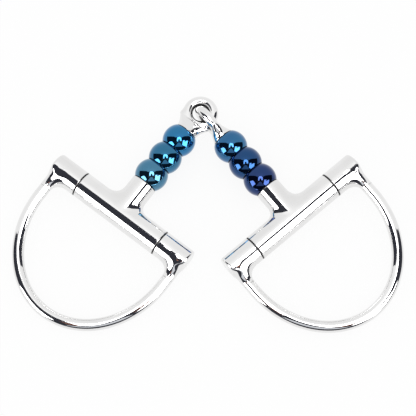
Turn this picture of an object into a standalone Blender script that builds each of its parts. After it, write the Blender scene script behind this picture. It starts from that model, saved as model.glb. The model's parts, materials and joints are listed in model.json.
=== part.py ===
# Dee-ring snaffle bit with a single-jointed roller mouthpiece, lying on a flat surface.
# Metres, +Z up, origin on the surface below the middle of the bit.
# An arm's own frame has its origin where the arm meets the barrel's axis, +X along the arm
# to the centre joint and Y along the barrel. The dee lies on the -X side of that frame.

import math

import bmesh
import bpy
import numpy as np
from mathutils import Matrix, Vector

MM = 0.001

# Fits
FIT_GAP = 0.3 * MM  # clearance between neighbouring pieces
JOINT_CHAMFER = 0.35 * MM  # edge break on each side of a joint line
ROOT_SINK = 0.15 * MM  # how deep a blend is rooted in the body that it springs from

# Barrel and neck of an arm
BARREL_RADIUS = 6.9 * MM
BARREL_LENGTH = 50.2 * MM
NECK_RADIUS = 6.8 * MM
NECK_LENGTH = 19.65 * MM  # barrel axis to the first roller
UPPER_FILLET = 5.6 * MM
LOWER_FILLET = 4.4 * MM

# Rollers and their axle
ROLLER_RADIUS = 8.45 * MM
ROLLER_LENGTH = 11.1 * MM
AXLE_RADIUS = 2.5 * MM
NECK_SEAT = 9.0 * MM  # length of axle held in the neck
EYE_SEAT = 3.0 * MM  # length of axle held in the eye

# Linked eyes
EYE_WIRE_RADIUS = 2.5 * MM
EYE_PLAY = 1.56 * MM  # slack of one eye's wire in the other eye's hole
EYE_REST_GAP = 0.36 * MM  # least gap between the eyes as they lie
SHOULDER_RADIUS = 5.8 * MM
SHOULDER_LENGTH = 5.63 * MM  # last roller to the near wire of the eye
NOSE_RADIUS = 3.4 * MM  # half thickness of the shoulder where it meets the ring
NOSE_SINK = 0.625 * MM  # how far the shoulder runs on into the ring's wire

# Dee: hinge pin, knuckles and bow rod
PIN_RADIUS = 2.6 * MM
PIN_SEAT = 8.0 * MM  # length of pin held in a knuckle
KNUCKLE_LENGTH = 16.9 * MM
KNUCKLE_EDGE = 1.4 * MM  # rounding of the end face's edge
KNUCKLE_FILLET = 4.9 * MM  # inner corner between the knuckle and its leg
END_PROUD = 0.2 * MM  # end face beyond the rod's outer side
ROD_RADIUS = 3.05 * MM
ROD_STRAIGHT = 3.4 * MM  # straight run of rod outside the knuckle
BOW_ARCH = 45.6 * MM  # depth of the curved part of the bow
GROOVE_DEPTH = 0.5 * MM  # V groove where the rod meets the knuckle
TENON_RADIUS = 1.6 * MM
TENON_LENGTH = 5.0 * MM

# Pose
FOLD_ANGLE = math.radians(77.5)  # angle between the arms as the bit lies
EYE_LEAN = math.radians(17)  # side of the left eye's hole that the right eye's wire lies on
SWING_LIMIT = math.radians(30)  # furthest droop of a dee that the rest pose looks for
SWING_SEARCH = 40  # halvings of that search

# Facets
TURN_STEPS = 24
RING_STEPS = 30
WIRE_SIDES = 12
LOFT_SIDES = 20
BALL_STEPS = 9
FILLET_STEPS = 6
BOW_STEPS = 30
ROD_BEVEL_STEPS = 4
MERGE = 0.001 * MM
TENON_STEP = 0.01 * MM  # run of the rod's path over which the tenon's shoulder steps out
SHARP_ANGLE = math.radians(40)

STEEL = (0.80, 0.81, 0.82)
POLISHED = 0.08
TURNED = 0.3
BLUED = 0.05
ROLLER_NAMES = ("outer_roller", "middle_roller", "inner_roller")
ROLLER_BLUES = {
    "left": ((0.02, 0.13, 0.25), (0.02, 0.13, 0.28), (0.02, 0.12, 0.30)),
    "right": ((0.03, 0.02, 0.17), (0.02, 0.04, 0.21), (0.02, 0.09, 0.25)),
}

# Derived sizes
ROLLER_COUNT = len(ROLLER_NAMES)
BARREL_HALF = BARREL_LENGTH / 2
DEE_HALF = BARREL_HALF + FIT_GAP + KNUCKLE_LENGTH
BOW_HALF = DEE_HALF - END_PROUD - ROD_RADIUS
BARREL_ROOT = BARREL_RADIUS - ROOT_SINK
LEG_LENGTH = BARREL_ROOT + KNUCKLE_FILLET + GROOVE_DEPTH
ROD_START = LEG_LENGTH + FIT_GAP
BOW_LEG = ROD_START + GROOVE_DEPTH + ROD_STRAIGHT
GROOVE_RADIUS = ROD_RADIUS - GROOVE_DEPTH
ROLLER_PITCH = ROLLER_LENGTH + FIT_GAP
EYE_START = NECK_LENGTH + ROLLER_COUNT * ROLLER_PITCH + FIT_GAP
EYE_RADIUS = 2 * EYE_WIRE_RADIUS + EYE_PLAY
EYE_REACH = EYE_START + SHOULDER_LENGTH + EYE_RADIUS
EYE_OFFSET = EYE_PLAY - EYE_REST_GAP
MOUTH_WIDTH = 2 * (EYE_REACH + EYE_RADIUS - EYE_WIRE_RADIUS - BARREL_RADIUS)

ALONG_X = (0, math.pi / 2, 0)
ALONG_Y = (-math.pi / 2, 0, 0)
AXES = {"centre_fold": 2, "left_arm": 0, "right_arm": 0, "left_dee": 1, "right_dee": 1}


def new_collection(name):
    made = bpy.data.collections.new(name)
    bpy.context.scene.collection.children.link(made)
    return made


def finish(name, colour, roughness):
    made = bpy.data.materials.new(name)
    made.use_nodes = True
    shader = made.node_tree.nodes["Principled BSDF"]
    shader.inputs["Base Color"].default_value = (*colour, 1)
    shader.inputs["Metallic"].default_value = 1
    shader.inputs["Roughness"].default_value = roughness
    return made


def frame_empty(name, parent, location=(0, 0, 0), rotation=(0, 0, 0)):
    empty = bpy.data.objects.new(name, None)
    bpy.context.scene.collection.objects.link(empty)
    empty.parent = parent
    empty.location = location
    empty.rotation_euler = rotation
    return empty


def place(name, data, parent, location=(0, 0, 0), rotation=(0, 0, 0)):
    piece = bpy.data.objects.new(name, data)
    piece.parent = parent
    piece.location = location
    piece.rotation_euler = rotation
    return piece


def add_piece(name, data, parent, location=(0, 0, 0), rotation=(0, 0, 0), colour=STEEL, roughness=POLISHED):
    piece = place(name, data, parent, location, rotation)
    data.materials.append(finish(name + "_finish", colour, roughness))
    parts.objects.link(piece)
    return piece


def combine(piece, operation, data, parent, location=(0, 0, 0), rotation=(0, 0, 0)):
    tool = place(piece.name + "_" + operation.lower(), data, parent, location, rotation)
    tool.display_type = "WIRE"
    tool.hide_render = True
    cutters.objects.link(tool)
    step = piece.modifiers.new(operation.title(), "BOOLEAN")
    step.operation = operation
    step.object = tool


def smooth(mesh):
    mesh.shade_smooth()
    mesh.set_sharp_from_angle(angle=SHARP_ANGLE)
    return mesh


# A profile of (radius, height) pairs turned about Z. It runs down the outer side.
def turned(name, profile, steps=TURN_STEPS, closed=False):
    outline = bpy.data.meshes.new(name + "_profile")
    count = len(profile)
    edges = [(i, (i + 1) % count) for i in range(count if closed else count - 1)]
    outline.from_pydata([(radius, 0, height) for radius, height in profile], edges, [])
    blank = bpy.data.objects.new(name + "_blank", outline)
    bpy.context.scene.collection.objects.link(blank)
    lathe = blank.modifiers.new("Turn", "SCREW")
    lathe.steps = steps
    lathe.render_steps = steps
    lathe.use_merge_vertices = True
    lathe.merge_threshold = MERGE
    made = bpy.data.meshes.new_from_object(blank.evaluated_get(bpy.context.evaluated_depsgraph_get()))
    bpy.data.objects.remove(blank, do_unlink=True)
    made.name = name
    return smooth(made)


# A solid through rings of equal point counts, with flat ends.
def loft(name, rings):
    shape = bmesh.new()
    loops = [[shape.verts.new(point) for point in ring] for ring in rings]
    for low, high in zip(loops, loops[1:]):
        for i in range(len(low)):
            shape.faces.new((low[i - 1], low[i], high[i], high[i - 1]))
    shape.faces.new(loops[0])
    shape.faces.new(loops[-1])
    bmesh.ops.recalc_face_normals(shape, faces=shape.faces)
    made = bpy.data.meshes.new(name)
    shape.to_mesh(made)
    shape.free()
    return smooth(made)


# A ring across X: half widths towards +Y and -Y about a centre, and a half height.
def ring_across(x, centre, plus, minus, height):
    points = []
    for i in range(LOFT_SIDES):
        turn = 2 * math.pi * i / LOFT_SIDES
        side = math.sin(turn)
        points.append((x, centre + side * (plus if side > 0 else minus), height * math.cos(turn)))
    return points


def bar_profile(radius, length, break_edge):
    half = length / 2
    return [
        (0, half),
        (radius - break_edge, half),
        (radius, half - break_edge),
        (radius, break_edge - half),
        (radius - break_edge, -half),
        (0, -half),
    ]


def bar(name, radius, length):
    return turned(name, bar_profile(radius, length, JOINT_CHAMFER))


# A cutter for a bore, turned half a facet so that its edges miss those of the body's end.
def bore(name, radius, length):
    made = turned(name, bar_profile(radius, length, ROOT_SINK))
    made.transform(Matrix.Rotation(math.pi / TURN_STEPS, 4, "Z"))
    return made


# How far a concave fillet still stands out at a distance from the wall it springs from.
def flare(distance, radius):
    left = radius - min(max(distance, 0), radius)
    return radius - math.sqrt(radius * radius - left * left)


def ease(share):
    return share * share * (3 - 2 * share)


def make_barrel(side, arm, up):
    profile = bar_profile(BARREL_RADIUS, BARREL_LENGTH, JOINT_CHAMFER)
    barrel = add_piece(side + "_barrel", turned(side + "_barrel", profile), arm, rotation=ALONG_Y)
    room = NECK_LENGTH - BARREL_ROOT - 2 * JOINT_CHAMFER
    fillets = [min(size, room) for size in (UPPER_FILLET, LOWER_FILLET)]
    upper, lower = fillets if up > 0 else reversed(fillets)
    widest = max(fillets)
    stations = [0, BARREL_RADIUS / 2]
    for i in range(FILLET_STEPS + 1):
        stations.append(BARREL_ROOT + widest * (1 - math.cos(math.pi / 2 * i / FILLET_STEPS)))
    stations.append(NECK_LENGTH - JOINT_CHAMFER)
    rings = []
    for x in stations:
        grown = min(x / BARREL_ROOT, 1)
        height = BARREL_RADIUS + (NECK_RADIUS - BARREL_RADIUS) * grown - JOINT_CHAMFER * (1 - grown)
        plus = NECK_RADIUS + flare(x - BARREL_ROOT, upper)
        minus = NECK_RADIUS + flare(x - BARREL_ROOT, lower)
        rings.append(ring_across(x, 0, plus, minus, height))
    end = NECK_RADIUS - JOINT_CHAMFER
    rings.append(ring_across(NECK_LENGTH, 0, end, end, end))
    combine(barrel, "UNION", loft(side + "_neck", rings), arm)
    pin_bore = bore(side + "_pin_bore", PIN_RADIUS + FIT_GAP, BARREL_LENGTH * 2)
    combine(barrel, "DIFFERENCE", pin_bore, arm, rotation=ALONG_Y)
    socket = bore(side + "_axle_socket", AXLE_RADIUS + FIT_GAP, 2 * (NECK_SEAT + FIT_GAP))
    combine(barrel, "DIFFERENCE", socket, arm, (NECK_LENGTH, 0, 0), ALONG_X)


def make_axle(side, arm):
    start = NECK_LENGTH - NECK_SEAT
    end = EYE_START + EYE_SEAT
    rod = bar(side + "_roller_axle", AXLE_RADIUS, end - start)
    add_piece(side + "_roller_axle", rod, arm, ((start + end) / 2, 0, 0), ALONG_X, roughness=TURNED)


def make_roller(side, arm, place_in_row):
    half = ROLLER_LENGTH / 2
    profile = []
    for i in range(BALL_STEPS + 1):
        tilt = math.asin(half / ROLLER_RADIUS) * (1 - 2 * i / BALL_STEPS)
        profile.append((ROLLER_RADIUS * math.cos(tilt), ROLLER_RADIUS * math.sin(tilt)))
    profile += [(AXLE_RADIUS + FIT_GAP, -half), (AXLE_RADIUS + FIT_GAP, half)]
    name = side + "_" + ROLLER_NAMES[place_in_row]
    ball = turned(name, profile, closed=True)
    centre = NECK_LENGTH + FIT_GAP + half + place_in_row * ROLLER_PITCH
    colour = ROLLER_BLUES[side][place_in_row]
    add_piece(name, ball, arm, (centre, 0, 0), ALONG_X, colour, BLUED)


# The eye's own frame has its origin at the ring's centre and Z along the ring's axis.
def make_eye(side, arm, roll):
    wire = []
    for i in range(WIRE_SIDES):
        turn = math.pi / 2 - 2 * math.pi * i / WIRE_SIDES
        wire.append((EYE_RADIUS + EYE_WIRE_RADIUS * math.cos(turn), EYE_WIRE_RADIUS * math.sin(turn)))
    name = side + "_joint_eye"
    centre = (EYE_REACH, 0, 0)
    turned_to = (roll, 0, 0)
    eye = add_piece(name, turned(name, wire, RING_STEPS, closed=True), arm, centre, turned_to)
    outer = EYE_RADIUS + EYE_WIRE_RADIUS
    flank = math.sqrt(outer * outer - EYE_RADIUS * EYE_RADIUS) - ROOT_SINK
    rings = []
    for i in range(FILLET_STEPS + 1):
        share = i / FILLET_STEPS
        x = -EYE_RADIUS - SHOULDER_LENGTH * (1 - share)
        width = SHOULDER_RADIUS + (flank - SHOULDER_RADIUS) * ease(share)
        height = SHOULDER_RADIUS + (NOSE_RADIUS - SHOULDER_RADIUS) * share
        rings.append(ring_across(x, 0, width, width, height))
    tip = EYE_WIRE_RADIUS - 2 * ROOT_SINK
    rings.append(ring_across(-EYE_RADIUS + NOSE_SINK, 0, flank, flank, tip))
    combine(eye, "UNION", loft(side + "_shoulder", rings), arm, centre, turned_to)
    socket = bore(side + "_eye_socket", AXLE_RADIUS + FIT_GAP, 2 * (EYE_SEAT + FIT_GAP))
    combine(eye, "DIFFERENCE", socket, arm, (EYE_START, 0, 0), ALONG_X)


def make_pin(side, dee):
    pin = bar(side + "_hinge_pin", PIN_RADIUS, BARREL_LENGTH + 2 * PIN_SEAT)
    add_piece(side + "_hinge_pin", pin, dee, rotation=ALONG_Y, roughness=TURNED)


# A knuckle at the +Y or -Y end of the dee: a turned head and a leg that narrows to the rod.
def make_knuckle(name, dee, end):
    profile = [(0, KNUCKLE_LENGTH)]
    for i in range(FILLET_STEPS // 2 + 1):
        turn = math.pi / 2 * (1 - 2 * i / FILLET_STEPS)
        radius = BARREL_RADIUS - KNUCKLE_EDGE * (1 - math.cos(turn))
        profile.append((radius, KNUCKLE_LENGTH - KNUCKLE_EDGE * (1 - math.sin(turn))))
    profile.append((BARREL_RADIUS, JOINT_CHAMFER))
    profile.append((BARREL_RADIUS - JOINT_CHAMFER, 0))
    profile.append((0, 0))
    upright = (-end * math.pi / 2, 0, 0)
    near = end * (BARREL_HALF + FIT_GAP)
    knuckle = add_piece(name, turned(name, profile), dee, (0, near, 0), upright)
    rings = []
    stations = [0, BARREL_RADIUS / 2]
    for i in range(FILLET_STEPS + 1):
        stations.append(BARREL_ROOT + KNUCKLE_FILLET * (1 - math.cos(math.pi / 2 * i / FILLET_STEPS)))
    for out in stations:
        inward = ROD_RADIUS + flare(out - BARREL_ROOT, KNUCKLE_FILLET)
        share = ease(out / stations[-1])
        height = (BARREL_RADIUS - JOINT_CHAMFER) * (1 - share) + ROD_RADIUS * share
        middle = end * (BOW_HALF + (ROD_RADIUS - inward) / 2)
        width = (ROD_RADIUS + inward) / 2
        rings.append(ring_across(-out, middle, width, width, height))
    rings.append(ring_across(-LEG_LENGTH, end * BOW_HALF, GROOVE_RADIUS, GROOVE_RADIUS, GROOVE_RADIUS))
    combine(knuckle, "UNION", loft(name + "_leg", rings), dee)
    pin_socket = bore(name + "_pin_socket", PIN_RADIUS + FIT_GAP, 2 * PIN_SEAT)
    combine(knuckle, "DIFFERENCE", pin_socket, dee, (0, near, 0), ALONG_Y)
    rod_socket = bore(name + "_rod_socket", TENON_RADIUS + FIT_GAP, 2 * (TENON_LENGTH + FIT_GAP))
    combine(knuckle, "DIFFERENCE", rod_socket, dee, (-LEG_LENGTH, end * BOW_HALF, 0), ALONG_X)


# The bow's centre line from the +Y tenon round to the -Y one, as (outward, along, radius).
def bow_path():
    end = [
        (LEG_LENGTH - TENON_LENGTH, TENON_RADIUS),
        (ROD_START, TENON_RADIUS),
        (ROD_START + TENON_STEP, GROOVE_RADIUS),
        (ROD_START + GROOVE_DEPTH, ROD_RADIUS),
    ]
    path = [(out, BOW_HALF, radius) for out, radius in end]
    for i in range(BOW_STEPS + 1):
        turn = math.pi * i / BOW_STEPS
        path.append((BOW_LEG + BOW_ARCH * math.sin(turn), BOW_HALF * math.cos(turn), ROD_RADIUS))
    path += [(out, -BOW_HALF, radius) for out, radius in reversed(end)]
    return path


def make_bow(side, dee):
    rod = bpy.data.curves.new(side + "_dee_bow", "CURVE")
    rod.dimensions = "3D"
    rod.bevel_depth = ROD_RADIUS
    rod.bevel_resolution = ROD_BEVEL_STEPS
    rod.use_fill_caps = True
    spline = rod.splines.new("POLY")
    path = bow_path()
    spline.points.add(len(path) - 1)
    for point, (out, along, radius) in zip(spline.points, path):
        point.co = (-out, along, 0, 1)
        point.radius = radius / ROD_RADIUS
    add_piece(side + "_dee_bow", rod, dee)


# Rest pose: the directions are those of the arms from the joint, seen from above.
def arm_direction(side):
    turn = FOLD_ANGLE / 2
    return Vector((math.sin(turn) * (1 if side == "right" else -1), -math.cos(turn), 0))


# Centre of an eye's ring, from the point where the fold's axis passes through the left eye.
def eye_centre(side):
    if side == "left":
        return EYE_OFFSET * Vector((math.sin(EYE_LEAN), -math.cos(EYE_LEAN), 0))
    return EYE_RADIUS * arm_direction("right")


def barrel_centre(side):
    return eye_centre(side) + EYE_REACH * arm_direction(side)


# The bit lies on the standing right eye and on the lower knuckles' outer edges.
def resting_tilt():
    contacts = [eye_centre("right") - Vector((0, 0, EYE_RADIUS + EYE_WIRE_RADIUS))]
    for side in ("left", "right"):
        inward = -arm_direction(side)
        down = Vector((inward.y, -inward.x, 0)) * (1 if side == "left" else -1)
        edge = barrel_centre(side) + down * (DEE_HALF - KNUCKLE_EDGE)
        contacts.append(edge - Vector((0, 0, BARREL_RADIUS)))
    eye, left, right = contacts
    normal = (left - eye).cross(right - eye)
    return normal.normalized().rotation_difference(Vector((0, 0, 1))), eye


# Turn of a dee about its barrel that lays the bow on the surface.
def resting_swing(side, tilt, eye):
    inward = -arm_direction(side)
    along = tilt @ Vector((-inward.y, inward.x, 0))
    barrel = tilt @ barrel_centre(side)
    floor = (tilt @ eye).z

    def lowest(swing):
        outward = tilt @ (Vector((0, 0, math.sin(swing))) - inward * math.cos(swing))
        dip = math.hypot(BOW_HALF * along.z, BOW_ARCH * outward.z)
        return barrel.z + BOW_LEG * outward.z - dip - ROD_RADIUS - floor

    low, high = -SWING_LIMIT, 0
    for _ in range(SWING_SEARCH):
        middle = (low + high) / 2
        if lowest(middle) > 0:
            high = middle
        else:
            low = middle
    return high


def make_side(side, bit, tilt, eye):
    direction = arm_direction(side)
    heading = math.atan2(-direction.y, -direction.x)
    up = 1 if side == "left" else -1
    carrier = bit if side == "left" else frame_empty("centre_fold", bit)
    arm = frame_empty(side + "_arm", carrier, barrel_centre(side), (0, 0, heading))
    make_barrel(side, arm, up)
    make_axle(side, arm)
    for place_in_row in range(ROLLER_COUNT):
        make_roller(side, arm, place_in_row)
    make_eye(side, arm, 0 if side == "left" else math.pi / 2)
    dee = frame_empty(side + "_dee", arm, rotation=(0, resting_swing(side, tilt, eye), 0))
    make_pin(side, dee)
    make_knuckle(side + "_upper_knuckle", dee, up)
    make_knuckle(side + "_lower_knuckle", dee, -up)
    make_bow(side, dee)


# Put the origin on the surface below the middle of the bit's box.
def centre_on_surface(bit):
    bpy.context.view_layer.update()
    depsgraph = bpy.context.evaluated_depsgraph_get()
    corners = []
    for piece in parts.objects:
        evaluated = piece.evaluated_get(depsgraph)
        mesh = evaluated.to_mesh()
        flat = np.empty(len(mesh.vertices) * 3)
        mesh.vertices.foreach_get("co", flat)
        turn = np.array(evaluated.matrix_world)
        world = flat.reshape(-1, 3) @ turn[:3, :3].T + turn[:3, 3]
        corners += [world.min(axis=0), world.max(axis=0)]
        evaluated.to_mesh_clear()
    low = np.min(corners, axis=0)
    high = np.max(corners, axis=0)
    bit.location -= Vector(((low[0] + high[0]) / 2, (low[1] + high[1]) / 2, low[2]))
    bpy.context.view_layer.update()
    print("size in mm", [round(length / MM, 2) for length in high - low])


def print_axes():
    for name, axis in AXES.items():
        world = bpy.data.objects[name].matrix_world
        at = [round(value, 6) for value in world.translation]
        print(name, "at", at, "axis", [round(value, 6) for value in world.col[axis][:3]])


for old in list(bpy.data.objects):
    bpy.data.objects.remove(old, do_unlink=True)
parts = new_collection("snaffle_bit")
cutters = new_collection("cutters")

root = frame_empty("bit", None)
rest_tilt, rest_eye = resting_tilt()
root.rotation_mode = "QUATERNION"
root.rotation_quaternion = rest_tilt
for name in ("left", "right"):
    make_side(name, root, rest_tilt, rest_eye)
centre_on_surface(root)
print("mouth width in mm", round(MOUTH_WIDTH / MM, 2))
print_axes()
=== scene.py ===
import json
import math

import bpy
import numpy as np
from mathutils import Matrix, Vector


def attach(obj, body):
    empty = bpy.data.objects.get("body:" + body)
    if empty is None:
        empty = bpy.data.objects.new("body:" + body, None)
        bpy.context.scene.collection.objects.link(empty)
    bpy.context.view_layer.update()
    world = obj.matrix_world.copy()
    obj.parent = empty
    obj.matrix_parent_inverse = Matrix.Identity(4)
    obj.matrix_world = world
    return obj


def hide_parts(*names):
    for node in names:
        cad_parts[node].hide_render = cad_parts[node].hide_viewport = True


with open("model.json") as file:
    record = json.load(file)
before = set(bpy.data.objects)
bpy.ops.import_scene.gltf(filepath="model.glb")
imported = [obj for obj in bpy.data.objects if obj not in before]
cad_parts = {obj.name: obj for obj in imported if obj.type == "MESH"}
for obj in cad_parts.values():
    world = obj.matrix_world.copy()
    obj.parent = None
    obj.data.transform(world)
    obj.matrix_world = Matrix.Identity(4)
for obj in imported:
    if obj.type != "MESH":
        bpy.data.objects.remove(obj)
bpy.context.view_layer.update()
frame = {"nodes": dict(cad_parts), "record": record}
print("frame loaded,", len(frame["nodes"]), "nodes")

mm = 0.001
sides = ("left", "right")
rollerOrder = ("outer_roller", "middle_roller", "inner_roller")
joints = {joint["name"]: joint for joint in frame["record"]["behaviour"]["joints"]}


# frames of the two arms and the two dees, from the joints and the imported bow

def frameMatrix(origin, alongX, alongY):
    x = Vector(alongX).normalized()
    z = x.cross(Vector(alongY)).normalized()
    y = z.cross(x)
    turn = Matrix((x, y, z)).transposed().to_4x4()
    return Matrix.Translation(Vector(origin)) @ turn


def armMatrix(side):
    swing = joints[side + "_dee_swing"]
    spin = joints[side + "_outer_roller_spin"]
    return frameMatrix(swing["pos_m"], spin["axis"], swing["axis"])


def meshPoints(mesh):
    flat = np.empty(len(mesh.vertices) * 3)
    mesh.vertices.foreach_get("co", flat)
    return flat.reshape(-1, 3)


def moved(points, matrix):
    grid = np.array(matrix)
    return points @ grid[:3, :3].T + grid[:3, 3]


def deeMatrix(side, arm):
    bow = moved(meshPoints(frame["nodes"][side + "_dee_bow"].data), arm.inverted())
    middle = (bow.min(axis=0) + bow.max(axis=0)) / 2  # the bow hangs from the barrel's axis
    droop = math.atan2(middle[2], -middle[0])
    return arm @ Matrix.Rotation(droop, 4, "Y")


arms = {side: armMatrix(side) for side in sides}
dees = {side: deeMatrix(side, arms[side]) for side in sides}


# shader groups shared by the finishes

def shaderGroup(name, inputs, outputs):
    group = bpy.data.node_groups.new(name, "ShaderNodeTree")
    for label, kind, value in inputs:
        socket = group.interface.new_socket(name=label, in_out="INPUT", socket_type=kind)
        if value is not None:
            socket.default_value = value
    for label, kind in outputs:
        group.interface.new_socket(name=label, in_out="OUTPUT", socket_type=kind)
    return group, group.nodes.new("NodeGroupInput"), group.nodes.new("NodeGroupOutput")


def addNode(tree, kind, values=None, **settings):
    node = tree.nodes.new(kind)
    for key, value in settings.items():
        setattr(node, key, value)
    for key, value in (values or {}).items():
        node.inputs[key].default_value = value
    return node


def remap(tree, source, low, high, toLow=0.0, toHigh=1.0):
    node = addNode(tree, "ShaderNodeMapRange", {1: low, 2: high, 3: toLow, 4: toHigh}, clamp=True)
    tree.links.new(source, node.inputs[0])
    return node.outputs[0]


def maths(tree, operation, first, second):
    node = addNode(tree, "ShaderNodeMath", operation=operation)
    for socket, value in zip(node.inputs, (first, second)):
        if isinstance(value, (int, float)):
            socket.default_value = value
        else:
            tree.links.new(value, socket)
    return node.outputs[0]


def mixColour(tree, share, first, second, blend="MIX"):
    node = addNode(tree, "ShaderNodeMix", data_type="RGBA", blend_type=blend)
    for socket, value in zip((node.inputs[0], node.inputs[6], node.inputs[7]), (share, first, second)):
        if isinstance(value, tuple):
            socket.default_value = (*value, 1)
        elif isinstance(value, (int, float)):
            socket.default_value = value
        else:
            tree.links.new(value, socket)
    return node.outputs[2]


handPolish = {
    "waveScale": 95.0,
    "hairScale": 900.0,
    "hairStretch": 22.0,
    "hairTurn": (0.4, 0.2, 0.9),
    "hairRange": (0.55, 0.8),
    "smudgeScale": 46.0,
    "smudgeRange": (0.42, 0.72),
}


def makeHandPolish():
    group, start, end = shaderGroup(
        "handPolish",
        [
            ("Vector", "NodeSocketVector", None),
            ("Wave Scale", "NodeSocketFloat", handPolish["waveScale"]),
            ("Hair Scale", "NodeSocketFloat", handPolish["hairScale"]),
            ("Smudge Scale", "NodeSocketFloat", handPolish["smudgeScale"]),
        ],
        [("Waves", "NodeSocketFloat"), ("Hairlines", "NodeSocketFloat"), ("Smudge", "NodeSocketFloat")],
    )
    waves = addNode(group, "ShaderNodeTexNoise", {"Detail": 1.5, "Roughness": 0.45})
    group.links.new(start.outputs["Vector"], waves.inputs["Vector"])
    group.links.new(start.outputs["Wave Scale"], waves.inputs["Scale"])
    stretch = addNode(group, "ShaderNodeMapping", {"Rotation": handPolish["hairTurn"]})
    stretch.inputs["Scale"].default_value = (1, handPolish["hairStretch"], handPolish["hairStretch"])
    group.links.new(start.outputs["Vector"], stretch.inputs["Vector"])
    hairs = addNode(group, "ShaderNodeTexNoise", {"Detail": 4.0, "Roughness": 0.7})
    group.links.new(stretch.outputs[0], hairs.inputs["Vector"])
    group.links.new(start.outputs["Hair Scale"], hairs.inputs["Scale"])
    smudge = addNode(group, "ShaderNodeTexNoise", {"Detail": 5.0, "Roughness": 0.6, "Distortion": 0.6})
    group.links.new(start.outputs["Vector"], smudge.inputs["Vector"])
    group.links.new(start.outputs["Smudge Scale"], smudge.inputs["Scale"])
    group.links.new(waves.outputs["Fac"], end.inputs["Waves"])
    group.links.new(remap(group, hairs.outputs["Fac"], *handPolish["hairRange"]), end.inputs["Hairlines"])
    group.links.new(remap(group, smudge.outputs["Fac"], *handPolish["smudgeRange"]), end.inputs["Smudge"])
    return group


# painted shade in the joints, bores and eye holes: a dark mask broken up by fine grain, with rougher gloss
# there
jointPaintedShade = {"grainScale": 1600.0, "grainRange": (0.25, 0.6), "thinnest": 0.7, "rough": 0.4}


def makeJointPaintedShade():
    group, start, end = shaderGroup(
        "jointPaintedShade",
        [("Vector", "NodeSocketVector", None), ("Crevice", "NodeSocketFloat", None)],
        [("Mask", "NodeSocketFloat")],
    )
    grain = addNode(group, "ShaderNodeTexNoise", {"Scale": jointPaintedShade["grainScale"], "Detail": 3.0})
    group.links.new(start.outputs["Vector"], grain.inputs["Vector"])
    broken = remap(group, grain.outputs["Fac"], *jointPaintedShade["grainRange"], jointPaintedShade["thinnest"])
    group.links.new(maths(group, "MULTIPLY", start.outputs["Crevice"], broken), end.inputs["Mask"])
    return group


heatTint = {
    "cloudScale": 70.0,
    "cloudRange": (0.35, 0.65),
    "speckScale": 2200.0,
    "speckRange": (0.3, 0.7),
    "speckDarkest": 0.93,
}


def makeHeatTint():
    group, start, end = shaderGroup(
        "heatTint",
        [
            ("Vector", "NodeSocketVector", None),
            ("Main", "NodeSocketColor", None),
            ("Drift", "NodeSocketColor", None),
        ],
        [("Color", "NodeSocketColor")],
    )
    cloud = addNode(group, "ShaderNodeTexNoise", {"Scale": heatTint["cloudScale"], "Detail": 2.0})
    speck = addNode(group, "ShaderNodeTexNoise", {"Scale": heatTint["speckScale"], "Detail": 2.0})
    for node in (cloud, speck):
        group.links.new(start.outputs["Vector"], node.inputs["Vector"])
    share = remap(group, cloud.outputs["Fac"], *heatTint["cloudRange"])
    tint = mixColour(group, share, start.outputs["Main"], start.outputs["Drift"])
    fleck = remap(group, speck.outputs["Fac"], *heatTint["speckRange"], heatTint["speckDarkest"])
    group.links.new(mixColour(group, 1.0, tint, fleck, "MULTIPLY"), end.inputs["Color"])
    return group


handPolishGroup = makeHandPolish()
jointPaintedShadeGroup = makeJointPaintedShade()
heatTintGroup = makeHeatTint()


def newFinish(name):
    finish = bpy.data.materials.new(name)
    finish.use_nodes = True
    tree = finish.node_tree
    shader = tree.nodes["Principled BSDF"]
    shader.inputs["Metallic"].default_value = 1
    place = addNode(tree, "ShaderNodeTexCoord").outputs["Object"]
    return finish, tree, shader, place


def placeGroup(tree, group, vector, **values):
    node = addNode(tree, "ShaderNodeGroup", node_tree=group)
    tree.links.new(vector, node.inputs["Vector"])
    for key, value in values.items():
        node.inputs[key].default_value = value
    return node


# turns the crevice attribute into the painted-shade mask that darkens joints and holes
def creviceMask(tree, place):
    stored = addNode(tree, "ShaderNodeAttribute", attribute_name="crevice")
    paintedShade = placeGroup(tree, jointPaintedShadeGroup, place)
    tree.links.new(stored.outputs["Fac"], paintedShade.inputs["Crevice"])
    return paintedShade.outputs["Mask"]


def roughFrom(tree, shader, polish, paintedShade, settings):
    rough = maths(tree, "MULTIPLY", polish.outputs["Hairlines"], settings["hair"])
    rough = maths(tree, "ADD", rough, settings["rough"])
    rough = maths(tree, "ADD", rough, maths(tree, "MULTIPLY", polish.outputs["Smudge"], settings["smear"]))
    rough = maths(tree, "ADD", rough, maths(tree, "MULTIPLY", paintedShade, jointPaintedShade["rough"]))
    tree.links.new(rough, shader.inputs["Roughness"])


def bumpFrom(tree, shader, height, depth):
    bump = addNode(tree, "ShaderNodeBump", {"Strength": 1.0, "Distance": depth})
    tree.links.new(height, bump.inputs["Height"])
    tree.links.new(bump.outputs["Normal"], shader.inputs["Normal"])


mirrorSteel = {
    "bright": (0.83, 0.828, 0.826),
    "dull": (0.775, 0.772, 0.769),
    # near-black painted shade for the joints and holes
    "paintedShade": (0.012, 0.012, 0.014),
    "rough": 0.035,
    "hair": 0.05,
    "smear": 0.03,
    "waveDepth": 0.00005,
}


def makeMirrorSteel():
    finish, tree, shader, place = newFinish("mirrorSteel")
    polish = placeGroup(tree, handPolishGroup, place)
    paintedShade = creviceMask(tree, place)
    tone = mixColour(tree, polish.outputs["Smudge"], mirrorSteel["bright"], mirrorSteel["dull"])
    # painted shade darkens the polished tone in the joints and holes
    tree.links.new(mixColour(tree, paintedShade, tone, mirrorSteel["paintedShade"]), shader.inputs["Base Color"])
    roughFrom(tree, shader, polish, paintedShade, mirrorSteel)
    bumpFrom(tree, shader, polish.outputs["Waves"], mirrorSteel["waveDepth"])
    return finish


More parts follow.
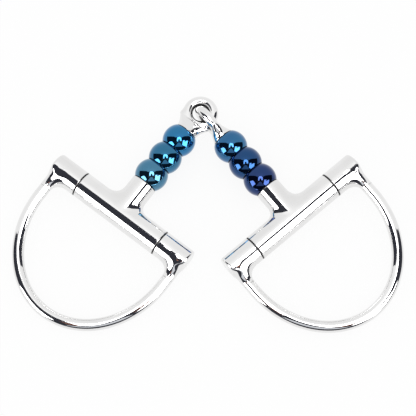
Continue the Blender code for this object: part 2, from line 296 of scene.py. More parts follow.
blueCoat = {
    "left": {
        "outer_roller": ((0.064, 0.212, 0.338), (0.052, 0.200, 0.345)),
        "middle_roller": ((0.024, 0.160, 0.298), (0.026, 0.165, 0.320)),
        "inner_roller": ((0.020, 0.185, 0.385), (0.018, 0.175, 0.390)),
    },
    "right": {
        "outer_roller": ((0.009, 0.043, 0.160), (0.014, 0.032, 0.145)),
        "middle_roller": ((0.008, 0.062, 0.190), (0.010, 0.052, 0.180)),
        "inner_roller": ((0.028, 0.158, 0.325), (0.022, 0.120, 0.300)),
    },
    # near-black blue painted shade at the rollers' ends
    "paintedShade": (0.004, 0.008, 0.018),
    "coat": 0.4,
    "rough": 0.03,
    "hair": 0.04,
    "smear": 0.03,
    "waveDepth": 0.00001,
}


def makeBlueCoat(side, roller):
    main, drift = blueCoat[side][roller]
    finish, tree, shader, place = newFinish("blueCoat_" + side + "_" + roller)
    shader.inputs["Coat Weight"].default_value = blueCoat["coat"]
    polish = placeGroup(tree, handPolishGroup, place)
    paintedShade = creviceMask(tree, place)
    tint = placeGroup(tree, heatTintGroup, place, Main=(*main, 1), Drift=(*drift, 1))
    # painted shade darkens the tint at the rollers' ends
    tone = mixColour(tree, paintedShade, tint.outputs["Color"], blueCoat["paintedShade"])
    tree.links.new(tone, shader.inputs["Base Color"])
    roughFrom(tree, shader, polish, paintedShade, blueCoat)
    bumpFrom(tree, shader, polish.outputs["Waves"], blueCoat["waveDepth"])
    return finish


turnedSteel = {
    "bright": (0.62, 0.63, 0.64),
    "dull": (0.48, 0.49, 0.5),
    "rough": 0.24,
    "lineScale": 420.0,
    "lineWander": 1.5,
    "lineRough": 0.12,
    "lineDepth": 0.000004,
}


def makeTurnedSteel():
    finish, tree, shader, place = newFinish("turnedSteel")
    polish = placeGroup(tree, handPolishGroup, place)
    lines = addNode(tree, "ShaderNodeTexWave")
    lines.inputs["Scale"].default_value = turnedSteel["lineScale"]
    lines.inputs["Distortion"].default_value = turnedSteel["lineWander"]
    tree.links.new(place, lines.inputs["Vector"])
    tone = mixColour(tree, polish.outputs["Smudge"], turnedSteel["bright"], turnedSteel["dull"])
    tree.links.new(tone, shader.inputs["Base Color"])
    rough = maths(tree, "MULTIPLY", lines.outputs["Fac"], turnedSteel["lineRough"])
    tree.links.new(maths(tree, "ADD", rough, turnedSteel["rough"]), shader.inputs["Roughness"])
    bumpFrom(tree, shader, lines.outputs["Fac"], turnedSteel["lineDepth"])
    return finish


steelFinish = makeMirrorSteel()
pinFinish = makeTurnedSteel()
rollerFinish = {(side, name): makeBlueCoat(side, name) for side in sides for name in rollerOrder}
print("finishes made,", len(bpy.data.materials))


# pieces: shapes are worked out in millimetres in the arm's or the dee's own frame

def addPiece(name, mesh, body, node, finish):
    piece = bpy.data.objects.new(name, mesh)
    bpy.context.scene.collection.objects.link(piece)
    mesh.materials.clear()
    mesh.materials.append(finish)
    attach(piece, body)
    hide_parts(node)
    return piece


# stores the painted-shade mask: 1 where joints and holes get painted shade
def storeCrevice(mesh, values):
    layer = mesh.attributes.new("crevice", "FLOAT", "POINT")
    layer.data.foreach_set("value", np.clip(values, 0, 1).astype(np.float32))


def softMin(first, second, width):
    reach = np.maximum(width - np.abs(first - second), 0) / width
    return np.minimum(first, second) - reach * reach * width / 4


def softMax(first, second, width):
    return -softMin(-first, -second, width)


def easeShare(share):
    share = np.clip(share, 0, 1)
    return share * share * (3 - 2 * share)


def shareFrom(least, share):
    return least + (1 - least) * share


tiny = 1e-6


def squareness(z, first, second):  # 1 where two skins cross squarely, 0 where they lie along each other
    return 1 - z * z / np.maximum(first * second, tiny)


skin = {
    "settleRounds": 5,
    "probe": 0.02,  # share of the grid's step
    "longestShift": 0.6,  # share of the grid's step
    "leastSteep": 0.05,
    "leastLength": 1e-9,
}


def slopeOf(field, points, reach):
    slope = np.empty_like(points)
    for axis in range(3):
        step = np.zeros(3)
        step[axis] = reach
        slope[:, axis] = (field(*(points + step).T) - field(*(points - step).T)) / (2 * reach)
    return slope


def skinOf(field, low, high, step):
    axes = [np.arange(a - 2 * step, b + 3 * step, step) for a, b in zip(low, high)]
    value = field(*np.meshgrid(*axes, indexing="ij"))
    cells = np.array(value.shape) - 1
    total = np.zeros((*cells, 3))
    count = np.zeros(cells)

    def corner(offset):
        return value[tuple(slice(o, o + n) for o, n in zip(offset, cells))]

    for near in np.ndindex(2, 2, 2):
        for axis in range(3):
            if near[axis]:
                continue
            far = tuple(o + (i == axis) for i, o in enumerate(near))
            a, b = corner(near), corner(far)
            cross = (a < 0) != (b < 0)
            share = np.where(cross, a / np.where(cross, a - b, 1), 0)
            for i in range(3):
                total[..., i] += cross * (near[i] + (share if i == axis else 0))
            count += cross
    busy = count > 0
    number = np.full(cells, -1)
    number[busy] = np.arange(busy.sum())
    origin = np.array([line[0] for line in axes])
    points = (np.argwhere(busy) + total[busy] / count[busy][:, None]) * step + origin
    quads = []
    for axis in range(3):
        u, v = (axis + 1) % 3, (axis + 2) % 3
        head = [slice(None)] * 3
        tail = [slice(None)] * 3
        head[axis], tail[axis] = slice(None, -1), slice(1, None)
        a, b = value[tuple(head)], value[tuple(tail)]
        spot = np.argwhere((a < 0) != (b < 0))
        ring = []
        for du, dv in ((1, 1), (0, 1), (0, 0), (1, 0)):
            cell = spot.copy()
            cell[:, u] -= du
            cell[:, v] -= dv
            ring.append(number[tuple(cell.T)])
        ring = np.stack(ring, axis=1)
        outward = a[tuple(spot.T)] < 0
        quads.append(np.where(outward[:, None], ring, ring[:, ::-1]))
    for _ in range(skin["settleRounds"]):  # settle the points on the surface itself
        slope = slopeOf(field, points, step * skin["probe"])
        steep = np.maximum((slope * slope).sum(axis=1), skin["leastSteep"])
        shift = -(field(*points.T) / steep)[:, None] * slope
        length = np.linalg.norm(shift, axis=1)[:, None]
        longest = step * skin["longestShift"]
        points = points + shift * np.minimum(1, longest / np.maximum(length, skin["leastLength"]))
    slope = slopeOf(field, points, step * skin["probe"])
    length = np.linalg.norm(slope, axis=1)[:, None]
    return points, np.concatenate(quads), slope / np.maximum(length, skin["leastLength"])


def castMesh(name, field, low, high, step, matrix, crevice):
    points, quads, normals = skinOf(field, low, high, step)
    mesh = bpy.data.meshes.new(name)
    mesh.from_pydata(moved(points * mm, matrix).tolist(), [], quads.tolist())
    mesh.shade_smooth()
    turn = np.array(matrix)[:3, :3]
    mesh.normals_split_custom_set_from_vertices((normals @ turn.T).tolist())
    storeCrevice(mesh, crevice(*points.T))
    return mesh


fitGap = 0.3
rootSink = 0.15
holeEdge = 0.3
seam = {  # painted shade at the joints, in the bores and in the eye holes: how far it reaches and how fast it fades
    "ringReach": 0.4,
    "ringFade": 0.3,
    "seatReach": 0.3,
    "seatFade": 0.25,
    "boreReach": 0.2,
    "boreFade": 0.1,
    "rollerReach": 0.12,
    "rollerFade": 0.1,
    "rodFade": 0.1,
    "holeShadeFade": 0.35,
}

barrel = {
    "radius": 6.9,
    "length": 50.2,
    "neckRadius": 6.8,
    "neckLength": 19.65,
    "upperBlend": 6.6,  # blend widths: 1.17 times the radius of the fillet
    "lowerBlend": 5.2,
    "topBlend": 0.1,
    "blendTurn": 4,  # how fast the upper width gives way to the lower one
    "edge": 0.5,
    "pinBore": 2.9,
    "axleBore": 2.8,
    "axleDepth": 9.3,
    "skinStep": 0.36,
}
barrelHalf = barrel["length"] / 2
barrelRoot = barrel["radius"] - rootSink


def barrelField(up):
    def field(x, y, z):
        across, around = np.hypot(x, z), np.hypot(y, z)
        tube = softMax(across - barrel["radius"], np.abs(y) - barrelHalf, barrel["edge"])
        neck = softMax(around - barrel["neckRadius"], x - barrel["neckLength"], barrel["edge"])
        neck = np.maximum(neck, -x)
        square = squareness(z, across, around)
        share = easeShare(0.5 + up * y / barrel["length"] * barrel["blendTurn"])
        width = barrel["lowerBlend"] + (barrel["upperBlend"] - barrel["lowerBlend"]) * share
        body = softMin(tube, neck, barrel["topBlend"] + (width - barrel["topBlend"]) * square)
        body = softMax(body, barrel["pinBore"] - across, holeEdge)
        socket = np.maximum(around - barrel["axleBore"], barrel["neckLength"] - barrel["axleDepth"] - x)
        return softMax(body, -socket, holeEdge)

    return field


# painted shade at the barrel's ends, at the roller seat and inside the pin bore
def barrelCrevice(x, y, z):
    ends = (np.abs(y) - barrelHalf + seam["ringReach"]) / seam["ringFade"]
    mouth = (x - barrel["neckLength"] + seam["seatReach"]) / seam["seatFade"]
    inside = (barrel["pinBore"] + seam["boreReach"] - np.hypot(x, z)) / seam["boreFade"]
    return np.maximum(np.maximum(ends, mouth), inside)


knuckle = {
    "length": 16.9,
    "edge": 1.4,
    "legEdge": 3.6,  # added to the end's rounding where the leg leaves
    "fillet": 4.9,
    "blend": 5.0,
    "flatShare": 0.2,  # shares of the blend left on the flat and on the dee's outside
    "outerShare": 0.4,
    "groove": 0.5,
    "legWide": 5.0,
    "legTall": 6.5,
    "pinDepth": 8.0,
    "tenonBore": 1.9,
    "tenonDepth": 5.3,
    "skinStep": 0.3,
}
rod = {
    "radius": 3.05,
    "straight": 3.4,
    "arch": 45.6,
    "proud": 0.2,
    "tenonRadius": 1.6,
    "tenonLength": 5.0,
    "seam": 0.03,
    "shoulder": 0.01,  # length of the step from tenon to rod
    "lead": 1,  # straight part after the step
    "steps": 180,
    "around": 56,
    "sharpAngle": 30,
}
knuckleNear = barrelHalf + fitGap
deeHalf = knuckleNear + knuckle["length"]
bowHalf = deeHalf - rod["proud"] - rod["radius"]
legLength = barrelRoot + knuckle["fillet"] + knuckle["groove"]
bowLeg = legLength + fitGap + knuckle["groove"] + rod["straight"]
rodStart = legLength + rod["seam"]


def knuckleField(end):
    def field(x, y, z):
        out, along, across = -x, y * end, np.hypot(x, z)
        edge = knuckle["edge"] + knuckle["legEdge"] * easeShare(out / barrel["radius"])
        p = across - (barrel["radius"] - edge)
        q = along - (deeHalf - edge)
        head = np.hypot(np.maximum(p, 0), np.maximum(q, 0)) + np.minimum(np.maximum(p, q), 0) - edge
        head = softMax(head, knuckleNear - along, barrel["edge"])
        left = 1 - easeShare(out / (barrelRoot + knuckle["fillet"]))
        wide = rod["radius"] + (knuckle["legWide"] - rod["radius"]) * left
        tall = rod["radius"] + (knuckle["legTall"] - rod["radius"]) * left
        sideways = (along - (deeHalf - rod["proud"] - wide)) / wide  # -1 inside the dee, 1 outside
        reach = np.hypot(sideways, z / tall)
        leg = np.maximum(np.maximum((reach - 1) * np.minimum(wide, tall), x), out - legLength)
        square = squareness(z, across * reach, tall)
        inner = easeShare(0.5 - sideways / 2)
        width = knuckle["blend"] * shareFrom(knuckle["flatShare"], square)
        width = width * shareFrom(knuckle["outerShare"], inner)
        body = softMin(head, leg, width)
        pinHole = np.maximum(across - barrel["pinBore"], along - knuckleNear - knuckle["pinDepth"])
        body = softMax(body, -pinHole, holeEdge)
        tenonHole = np.hypot(along - bowHalf, z) - knuckle["tenonBore"]
        tenonHole = np.maximum(tenonHole, legLength - knuckle["tenonDepth"] - out)
        return np.maximum(body, -tenonHole)

    return field


# painted shade at the knuckle's end next to the barrel
def knuckleCrevice(end):
    def crevice(x, y, z):
        return (knuckleNear + seam["ringReach"] - y * end) / seam["ringFade"]

    return crevice


for side in sides:
    up = 1 if side == "left" else -1
    reach = barrel["radius"]
    mesh = castMesh(
        side + "_barrelCasting",
        barrelField(up),
        (-reach, -barrelHalf, -reach),
        (barrel["neckLength"], barrelHalf, reach),
        barrel["skinStep"],
        arms[side],
        barrelCrevice,
    )
    addPiece(side + "_barrelCasting", mesh, side + "_arm", side + "_barrel", steelFinish)
    for place, end in (("upper", up), ("lower", -up)):
        near, far = sorted((end * knuckleNear, end * deeHalf))
        mesh = castMesh(
            side + "_" + place + "Knuckle",
            knuckleField(end),
            (-legLength, near, -reach),
            (reach, far, reach),
            knuckle["skinStep"],
            dees[side],
            knuckleCrevice(end),
        )
        node = side + "_" + place + "_knuckle"
        addPiece(side + "_" + place + "Knuckle", mesh, side + "_dee", node, steelFinish)
print("barrels and knuckles cast")


eye = {
    "wire": 2.5,
    "play": 1.56,
    "shoulderRadius": 5.8,
    "shoulderLength": 5.63,
    "nose": 3.4,
    "noseSink": 0.625,
    "noseEdge": 0.8,
    "blend": 4.5,
    "flatShare": 0.2,  # shares of the blend left on the flat and inside the hole
    "holeShare": 0.1,
    "axleDepth": 3.3,
    "holeShadeShare": 0.6,
    "skinStep": 0.24,
}
roller = {
    "radius": 8.45,
    "length": 11.1,
    "edge": 0.2,
    "bore": 2.8,
    "arcSteps": 64,
    "cornerSteps": 8,
    "around": 128,
    "sharpAngle": 50,
}
rollerPitch = roller["length"] + fitGap
eyeStart = barrel["neckLength"] + len(rollerOrder) * rollerPitch + fitGap
eyeRadius = 2 * eye["wire"] + eye["play"]
eyeReach = eyeStart + eye["shoulderLength"] + eyeRadius
eyeFlank = math.sqrt((eyeRadius + eye["wire"]) ** 2 - eyeRadius**2) - rootSink


def eyeField(x, y, z):
    away = np.hypot(x, y) - eyeRadius
    wire = np.hypot(away, z)
    share = np.clip((x + eyeRadius + eye["shoulderLength"]) / eye["shoulderLength"], 0, 1)
    sunk = np.clip((x + eyeRadius) / eye["noseSink"], 0, 1)
    wide = eye["shoulderRadius"] + (eyeFlank - eye["shoulderRadius"]) * easeShare(share)
    tall = eye["shoulderRadius"] + (eye["nose"] - eye["shoulderRadius"]) * share
    tall = tall - (eye["nose"] - eye["wire"] + 2 * rootSink) * sunk
    reach = np.hypot(y / wide, z / tall)
    neck = softMax((reach - 1) * tall, x + eyeRadius - eye["noseSink"], eye["noseEdge"])
    neck = softMax(neck, -x - eyeRadius - eye["shoulderLength"], barrel["edge"])
    square = squareness(z, wire * reach, tall)
    outside = easeShare(0.5 + away / eye["wire"] / 2)  # the hole stays open, so the eyes fold freely
    width = eye["blend"] * shareFrom(eye["flatShare"], square) * shareFrom(eye["holeShare"], outside)
    body = softMin(wire - eye["wire"], neck, width)
    socket = np.hypot(y, z) - barrel["axleBore"]
    socket = np.maximum(socket, x + eyeRadius + eye["shoulderLength"] - eye["axleDepth"])
    return softMax(body, -socket, holeEdge)


# painted shade at the seat and on the hole's inner wall, where the other eye's wire lies in shadow
def eyeCrevice(x, y, z):
    seat = (seam["seatReach"] - eyeRadius - eye["shoulderLength"] - x) / seam["seatFade"]
    inner = eyeRadius - eye["wire"] * eye["holeShadeShare"]  # inside of the ring, whose wall gets painted shade
    holeShade = (inner - np.hypot(x, y)) / seam["holeShadeFade"]
    return np.maximum(seat, holeShade)


for side in sides:
    roll = 0 if side == "left" else math.pi / 2
    atEye = arms[side] @ Matrix.Translation((eyeReach * mm, 0, 0)) @ Matrix.Rotation(roll, 4, "X")
    far = eyeRadius + eye["wire"]
    low = (-eyeRadius - eye["shoulderLength"], -far, -eye["shoulderRadius"])
    high = (far, far, eye["shoulderRadius"])
    mesh = castMesh(side + "_linkedEye", eyeField, low, high, eye["skinStep"], atEye, eyeCrevice)
    addPiece(side + "_linkedEye", mesh, side + "_arm", side + "_joint_eye", steelFinish)
print("linked eyes cast")


# geometry nodes: a lathe for the rollers and a sweep for the bows

def geometryTree(name, inputs):
    tree = bpy.data.node_groups.new(name, "GeometryNodeTree")
    tree.interface.new_socket(name="Geometry", in_out="INPUT", socket_type="NodeSocketGeometry")
    for label, kind, value in inputs:
        socket = tree.interface.new_socket(name=label, in_out="INPUT", socket_type=kind)
        if value is not None:
            socket.default_value = value
    tree.interface.new_socket(name="Geometry", in_out="OUTPUT", socket_type="NodeSocketGeometry")
    return tree, tree.nodes.new("NodeGroupInput"), tree.nodes.new("NodeGroupOutput")


weldDistance = 0.0000005


def closeTree(tree, start, end, geometry):
    merge = addNode(tree, "GeometryNodeMergeByDistance", {"Distance": weldDistance})
    realize = addNode(tree, "GeometryNodeRealizeInstances")
    paint = addNode(tree, "GeometryNodeSetMaterial")
    tree.links.new(geometry, merge.inputs["Geometry"])
    tree.links.new(merge.outputs["Geometry"], realize.inputs["Geometry"])
    tree.links.new(realize.outputs["Geometry"], paint.inputs["Geometry"])
    tree.links.new(start.outputs["Finish"], paint.inputs["Material"])
    tree.links.new(paint.outputs["Geometry"], end.inputs["Geometry"])


def makeLatheTree():  # turns the profile's points about X: column for each point, row for each step
    tree, start, end = geometryTree(
        "rollerLathe",
        [
            ("Points", "NodeSocketInt", 8),
            ("Steps", "NodeSocketInt", 64),
            ("Finish", "NodeSocketMaterial", None),
        ],
    )
    rows = maths(tree, "ADD", start.outputs["Steps"], 1)
    grid = addNode(tree, "GeometryNodeMeshGrid")
    tree.links.new(start.outputs["Points"], grid.inputs["Vertices X"])
    tree.links.new(rows, grid.inputs["Vertices Y"])
    index = addNode(tree, "GeometryNodeInputIndex").outputs["Index"]
    column = maths(tree, "FLOOR", maths(tree, "DIVIDE", index, rows), 0)
    row = maths(tree, "MODULO", index, rows)
    sample = addNode(tree, "GeometryNodeSampleIndex", data_type="FLOAT_VECTOR", domain="POINT")
    position = addNode(tree, "GeometryNodeInputPosition").outputs["Position"]
    tree.links.new(start.outputs["Geometry"], sample.inputs["Geometry"])
    tree.links.new(position, sample.inputs["Value"])
    tree.links.new(column, sample.inputs["Index"])
    split = addNode(tree, "ShaderNodeSeparateXYZ")
    tree.links.new(sample.outputs["Value"], split.inputs[0])
    turn = maths(tree, "DIVIDE", maths(tree, "MULTIPLY", row, 2 * math.pi), start.outputs["Steps"])
    ring = addNode(tree, "ShaderNodeCombineXYZ")
    tree.links.new(split.outputs["X"], ring.inputs["X"])
    for axis, wave in (("Y", "COSINE"), ("Z", "SINE")):
        swing = maths(tree, wave, turn, 0)
        tree.links.new(maths(tree, "MULTIPLY", split.outputs["Y"], swing), ring.inputs[axis])
    shape = addNode(tree, "GeometryNodeSetPosition")
    tree.links.new(grid.outputs["Mesh"], shape.inputs["Geometry"])
    tree.links.new(ring.outputs[0], shape.inputs["Position"])
    closeTree(tree, start, end, shape.outputs["Geometry"])
    return tree


def makeSweepTree():  # carries a round section along the rod's centre line
    tree, start, end = geometryTree(
        "rodSweep",
        [("Around", "NodeSocketInt", 32), ("Finish", "NodeSocketMaterial", None)],
    )
    line = addNode(tree, "GeometryNodeMeshToCurve")
    tree.links.new(start.outputs["Geometry"], line.inputs["Mesh"])
    girth = addNode(tree, "GeometryNodeInputNamedAttribute", data_type="FLOAT")
    girth.inputs["Name"].default_value = "girth"
    circle = addNode(tree, "GeometryNodeCurvePrimitiveCircle", {"Radius": 1.0})
    tree.links.new(start.outputs["Around"], circle.inputs["Resolution"])
    sweep = addNode(tree, "GeometryNodeCurveToMesh", {"Fill Caps": True})
    tree.links.new(line.outputs["Curve"], sweep.inputs["Curve"])
    tree.links.new(circle.outputs["Curve"], sweep.inputs["Profile Curve"])
    tree.links.new(girth.outputs["Attribute"], sweep.inputs["Scale"])
    closeTree(tree, start, end, sweep.outputs["Mesh"])
    return tree


latheTree = makeLatheTree()
sweepTree = makeSweepTree()


def grownMesh(name, points, tree, values, stored=None):
    line = bpy.data.meshes.new(name + "Line")
    line.from_pydata(points, [(i, i + 1) for i in range(len(points) - 1)], [])
    for label, numbers in (stored or {}).items():
        layer = line.attributes.new(label, "FLOAT", "POINT")
        layer.data.foreach_set("value", np.array(numbers, dtype=np.float32))
    maker = bpy.data.objects.new(name + "Maker", line)
    bpy.context.scene.collection.objects.link(maker)
    grow = maker.modifiers.new("grow", "NODES")
    grow.node_group = tree
    for item in tree.interface.items_tree:
        if item.in_out == "INPUT" and item.name in values:
            grow[item.identifier] = values[item.name]
    mesh = bpy.data.meshes.new_from_object(maker.evaluated_get(bpy.context.evaluated_depsgraph_get()))
    mesh.name = name
    maker.modifiers.remove(grow)
    bpy.data.objects.remove(maker, do_unlink=True)
    return mesh


def faceOutward(mesh):
    volume = 0.0
    points = meshPoints(mesh)
    for face in mesh.polygons:
        corners = points[list(face.vertices)]
        for b, c in zip(corners[1:], corners[2:]):
            volume += np.dot(corners[0], np.cross(b, c))
    if volume < 0:
        mesh.flip_normals()


def rollerProfile():
    half = roller["length"] / 2
    edge = roller["edge"]
    radius = roller["radius"]
    inner = radius - edge  # the edge's round touches the ball from inside
    rest = half - edge
    tilt = math.asin(rest / inner)
    points = []
    for i in range(roller["arcSteps"] + 1):
        turn = tilt * (1 - 2 * i / roller["arcSteps"])
        points.append((radius * math.sin(turn), radius * math.cos(turn)))
    centre = inner * math.cos(tilt)
    corner = []
    for i in range(1, roller["cornerSteps"] + 1):
        turn = tilt + (math.pi / 2 - tilt) * i / roller["cornerSteps"]
        corner.append((rest + edge * math.sin(turn), centre + edge * math.cos(turn)))
    points = corner[::-1] + points + [(-x, y) for x, y in corner]
    points += [(-half, roller["bore"]), (half, roller["bore"]), points[0]]
    return [(x * mm, y * mm, 0) for x, y in points]


profile = rollerProfile()
for side in sides:
    for order, name in enumerate(rollerOrder):
        finish = rollerFinish[side, name]
        values = {"Points": len(profile), "Steps": roller["around"], "Finish": finish}
        mesh = grownMesh(side + "_" + name.replace("_roller", "Roller"), profile, latheTree, values)
        faceOutward(mesh)
        mesh.shade_smooth()
        mesh.set_sharp_from_angle(angle=math.radians(roller["sharpAngle"]))
        along = np.abs(meshPoints(mesh)[:, 0] / mm)
        # painted shade at each roller's ends, in the gaps between rollers
        storeCrevice(mesh, (along - roller["length"] / 2 + seam["rollerReach"]) / seam["rollerFade"])
        centre = barrel["neckLength"] + fitGap + roller["length"] / 2 + order * rollerPitch
        mesh.transform(arms[side] @ Matrix.Translation((centre * mm, 0, 0)))
        body = side + "_" + name
        addPiece(mesh.name, mesh, body, body, finish)
print("rollers turned")


def bowLine():
    ends = [
        (legLength - rod["tenonLength"], rod["tenonRadius"]),
        (rodStart, rod["tenonRadius"]),
        (rodStart + rod["shoulder"], rod["radius"]),
        (rodStart + rod["lead"], rod["radius"]),
        (bowLeg - rod["straight"] / 2, rod["radius"]),
    ]
    line = [(out, bowHalf, girth) for out, girth in ends]
    for i in range(rod["steps"] + 1):
        turn = math.pi * i / rod["steps"]
        line.append((bowLeg + rod["arch"] * math.sin(turn), bowHalf * math.cos(turn), rod["radius"]))
    return line + [(out, -bowHalf, girth) for out, girth in reversed(ends)]


for side in sides:
    line = bowLine()
    points = [(-out * mm, along * mm, 0) for out, along, girth in line]
    girths = [girth * mm for out, along, girth in line]
    values = {"Around": rod["around"], "Finish": steelFinish}
    mesh = grownMesh(side + "_deeBow", points, sweepTree, values, {"girth": girths})
    faceOutward(mesh)
    mesh.shade_smooth()
    mesh.set_sharp_from_angle(angle=math.radians(rod["sharpAngle"]))
    # painted shade on the tenon and where the rod enters the knuckle
    storeCrevice(mesh, (rodStart + meshPoints(mesh)[:, 0] / mm) / seam["rodFade"])
    mesh.transform(dees[side])
    addPiece(mesh.name, mesh, side + "_dee", side + "_dee_bow", steelFinish)
    for node in (side + "_hinge_pin", side + "_roller_axle"):  # shapes kept, finish changed
        for slot in frame["nodes"][node].material_slots:
            slot.material = pinFinish
print("bows swept")


# studio: white table and tent, with a dark wall and bright cards that only reflections see

camera = {
    "elevation": 74.35,
    "roll": -1.44,
    "pixelsPerMm": 1.98,
    "distance": 0.8,
    "imageSize": 416,
    "aim": (0, 0, 0.006),
    "aimPixel": (206.7, 214.5),
    "sensor": 36,
    "clipStart": 0.01,
}

lift = math.radians(camera["elevation"])
viewRight = Vector((1, 0, 0))
viewUp = Vector((0, math.sin(lift), math.cos(lift)))
toCamera = Vector((0, -math.cos(lift), math.sin(lift)))
aim = Vector(camera["aim"])


def addCamera():
    roll = math.radians(camera["roll"])
    right = viewRight * math.cos(roll) + viewUp * math.sin(roll)
    up = viewUp * math.cos(roll) - viewRight * math.sin(roll)
    lens = bpy.data.cameras.new("camera")
    lens.sensor_width = camera["sensor"]
    lens.sensor_fit = "HORIZONTAL"
    spread = camera["imageSize"] / camera["pixelsPerMm"] * mm
    lens.lens = lens.sensor_width * camera["distance"] / spread
    lens.clip_start = camera["clipStart"]
    pixel = mm / camera["pixelsPerMm"]
    offset = [(camera["imageSize"] / 2 - value) * pixel for value in camera["aimPixel"]]
    target = aim + right * offset[0] - up * offset[1]
    eyeObject = bpy.data.objects.new("camera", lens)
    bpy.context.scene.collection.objects.link(eyeObject)
    turn = Matrix((right, up, toCamera)).transposed().to_4x4()
    eyeObject.matrix_world = Matrix.Translation(target + toCamera * camera["distance"]) @ turn
    bpy.context.scene.camera = eyeObject


def glow(name, colour, strength):
    finish = bpy.data.materials.new(name)
    finish.use_nodes = True
    tree = finish.node_tree
    tree.nodes.clear()
    light = addNode(tree, "ShaderNodeEmission", {"Color": (*colour, 1), "Strength": strength})
    end = addNode(tree, "ShaderNodeOutputMaterial")
    tree.links.new(light.outputs[0], end.inputs["Surface"])
    return finish


def mirrored(u, v):  # where a ball in the photo looks at this spot of its disc
    w = math.sqrt(max(1 - u * u - v * v, 0))
    return viewRight * (2 * w * u) + viewUp * (2 * w * v) + toCamera * (2 * w * w - 1)


def addCard(name, directions, finish, away, faces):
    mesh = bpy.data.meshes.new(name)
    points = [aim + direction.normalized() * away for direction in directions]
    mesh.from_pydata(points, [], faces)
    mesh.materials.append(finish)
    card = bpy.data.objects.new(name, mesh)
    bpy.context.scene.collection.objects.link(card)
    card.visible_camera = False
    card.visible_diffuse = False
    card.visible_shadow = False
    return card


def outlineCard(name, outline, finish, away):  # outline in disc units, filled as a fan
    dense = []
    steps = studio["cardSteps"]
    for a, b in zip(outline, outline[1:] + outline[:1]):
        for i in range(steps):
            dense.append((a[0] + (b[0] - a[0]) * i / steps, a[1] + (b[1] - a[1]) * i / steps))
    middle = (sum(u for u, v in dense) / len(dense), sum(v for u, v in dense) / len(dense))
    count = len(dense)
    fan = [(i, (i + 1) % count, count) for i in range(count)]
    addCard(name, [mirrored(u, v) for u, v in dense + [middle]], finish, away, fan)


def horizonSpot(turn):  # spot of the disc where a ball shows the table's horizon
    angle = math.radians(turn)
    reach = math.sin(math.atan2(math.sin(lift), -math.cos(lift) * math.sin(angle)) / 2)
    return (reach * math.cos(angle), reach * math.sin(angle))


studio = {
    "cardDistance": 4.0,
    "tent": 0.96,
    "dark": (0.036, 0.038, 0.049),
    "fan": (0.72, 0.74, 0.78),
    "warm": (0.40, 0.19, 0.13),
    "windowPower": 6.0,
    "archPower": 6.0,
    "floorGlow": 0.9,
    "floorColour": 0.97,
    "floorRough": 0.9,
    "floorHalf": 12,
    "cardSteps": 6,  # points along each side of a card
    "wallTop": [(0.5, 0.25), (0.32, 0.235), (0.2, 0.18), (-0.18, 0.18), (-0.3, 0.235), (-0.5, 0.25)],
    "wallTurns": range(159, 382, 6),  # degrees along the horizon
}
haze = {  # soft glow above the arch, in disc units
    "extra": 0.22,
    "wide": 0.5,
    "low": 0.15,
    "high": 0.48,
    "share": 1.15,
    "columns": 25,
    "rows": 13,
}
cards = {  # outlines in disc units, with each card's share of the distance
    "fanCard": ("fan", 0.75, [(-0.05, -0.13), (0.05, -0.13), (0.22, -0.38), (-0.25, -0.38)]),
    "warmLeft": ("warm", 0.7, [(-0.19, -0.06), (-0.12, -0.07), (-0.11, -0.15), (-0.18, -0.16)]),
    "warmRight": ("warm", 0.7, [(0.11, -0.06), (0.20, -0.05), (0.17, -0.17), (0.10, -0.14)]),
    "leftWindow": ("window", 0.65, [(-0.62, -0.09), (-0.42, -0.03), (-0.29, -0.26), (-0.48, -0.41)]),
    "rightWindow": ("window", 0.65, [(0.25, -0.01), (0.54, -0.03), (0.46, -0.40), (0.20, -0.29)]),
    "archCard": (
        "arch",
        0.6,
        [(-0.12, -0.06), (-0.11, 0.12), (-0.05, 0.20), (0.07, 0.20), (0.15, 0.14), (0.16, -0.03)],
    ),
    "archGap": ("dark", 0.55, [(-0.06, -0.08), (-0.03, 0.07), (0.05, 0.07), (0.08, -0.08)]),
}


def addHaze(away):
    columns, rows = haze["columns"], haze["rows"]
    spots, power = [], []
    for i in range(columns):
        for j in range(rows):
            u = haze["wide"] * (2 * i / (columns - 1) - 1)
            rise = j / (rows - 1)
            spots.append(mirrored(u, haze["low"] + (haze["high"] - haze["low"]) * rise))
            fade = (1 - easeShare(rise)) * (1 - easeShare(abs(u) / haze["wide"]))
            power.append(studio["tent"] + haze["extra"] * fade)
    faces = []
    for i in range(columns - 1):
        for j in range(rows - 1):
            first = i * rows + j
            faces.append((first, first + rows, first + rows + 1, first + 1))
    finish = glow("hazeCard", (1, 1, 1), 1)
    tree = finish.node_tree
    stored = addNode(tree, "ShaderNodeAttribute", attribute_name="power")
    tree.links.new(stored.outputs["Fac"], tree.nodes["Emission"].inputs["Strength"])
    card = addCard("hazeCard", spots, finish, away, faces)
    layer = card.data.attributes.new("power", "FLOAT", "POINT")
    layer.data.foreach_set("value", np.array(power, dtype=np.float32))


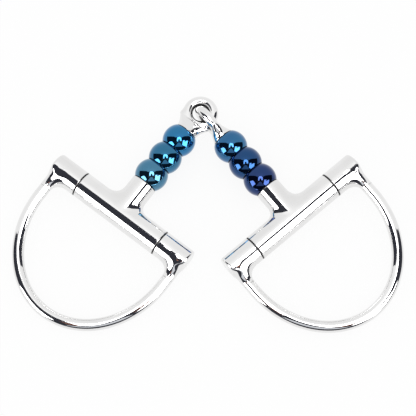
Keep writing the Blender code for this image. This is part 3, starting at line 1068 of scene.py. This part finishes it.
def addStudio():
    away = studio["cardDistance"]
    glows = {
        "dark": glow("darkCard", studio["dark"], 1),
        "fan": glow("fanCard", studio["fan"], 1),
        "warm": glow("warmCard", studio["warm"], 1),
        "window": glow("windowCard", (1, 1, 1), studio["windowPower"]),
        "arch": glow("archCard", (1, 1, 1), studio["archPower"]),
    }
    wall = [horizonSpot(turn) for turn in studio["wallTurns"]]
    outlineCard("darkWall", wall + studio["wallTop"], glows["dark"], away)
    addHaze(away * haze["share"])
    for name, (kind, share, outline) in cards.items():
        outlineCard(name, outline, glows[kind], away * share)

    floorMesh = bpy.data.meshes.new("floor")
    half = studio["floorHalf"]
    corners = [(-half, -half, 0), (half, -half, 0), (half, half, 0), (-half, half, 0)]
    floorMesh.from_pydata(corners, [], [(0, 1, 2, 3)])
    paper = bpy.data.materials.new("floorPaper")
    paper.use_nodes = True
    tree = paper.node_tree
    shader = tree.nodes["Principled BSDF"]
    tone = studio["floorColour"]
    shader.inputs["Base Color"].default_value = (tone, tone, tone, 1)
    shader.inputs["Roughness"].default_value = studio["floorRough"]
    shader.inputs["Specular IOR Level"].default_value = 0
    light = addNode(tree, "ShaderNodeEmission")
    path = addNode(tree, "ShaderNodeLightPath")
    seen = maths(tree, "MAXIMUM", path.outputs["Is Camera Ray"], path.outputs["Is Glossy Ray"])
    seen = maths(tree, "MAXIMUM", seen, path.outputs["Is Transmission Ray"])
    share = maths(tree, "MULTIPLY", seen, studio["floorGlow"])
    mix = addNode(tree, "ShaderNodeMixShader")
    tree.links.new(share, mix.inputs[0])
    tree.links.new(shader.outputs[0], mix.inputs[1])
    tree.links.new(light.outputs[0], mix.inputs[2])
    tree.links.new(mix.outputs[0], tree.nodes["Material Output"].inputs["Surface"])
    floorMesh.materials.append(paper)
    floor = bpy.data.objects.new("floor", floorMesh)
    bpy.context.scene.collection.objects.link(floor)

    world = bpy.data.worlds.new("tent")
    bpy.context.scene.world = world
    world.use_nodes = True
    world.node_tree.nodes["Background"].inputs["Color"].default_value = (1, 1, 1, 1)
    world.node_tree.nodes["Background"].inputs["Strength"].default_value = studio["tent"]


addCamera()
addStudio()
bpy.context.scene.view_settings.view_transform = "Standard"
print("studio set")
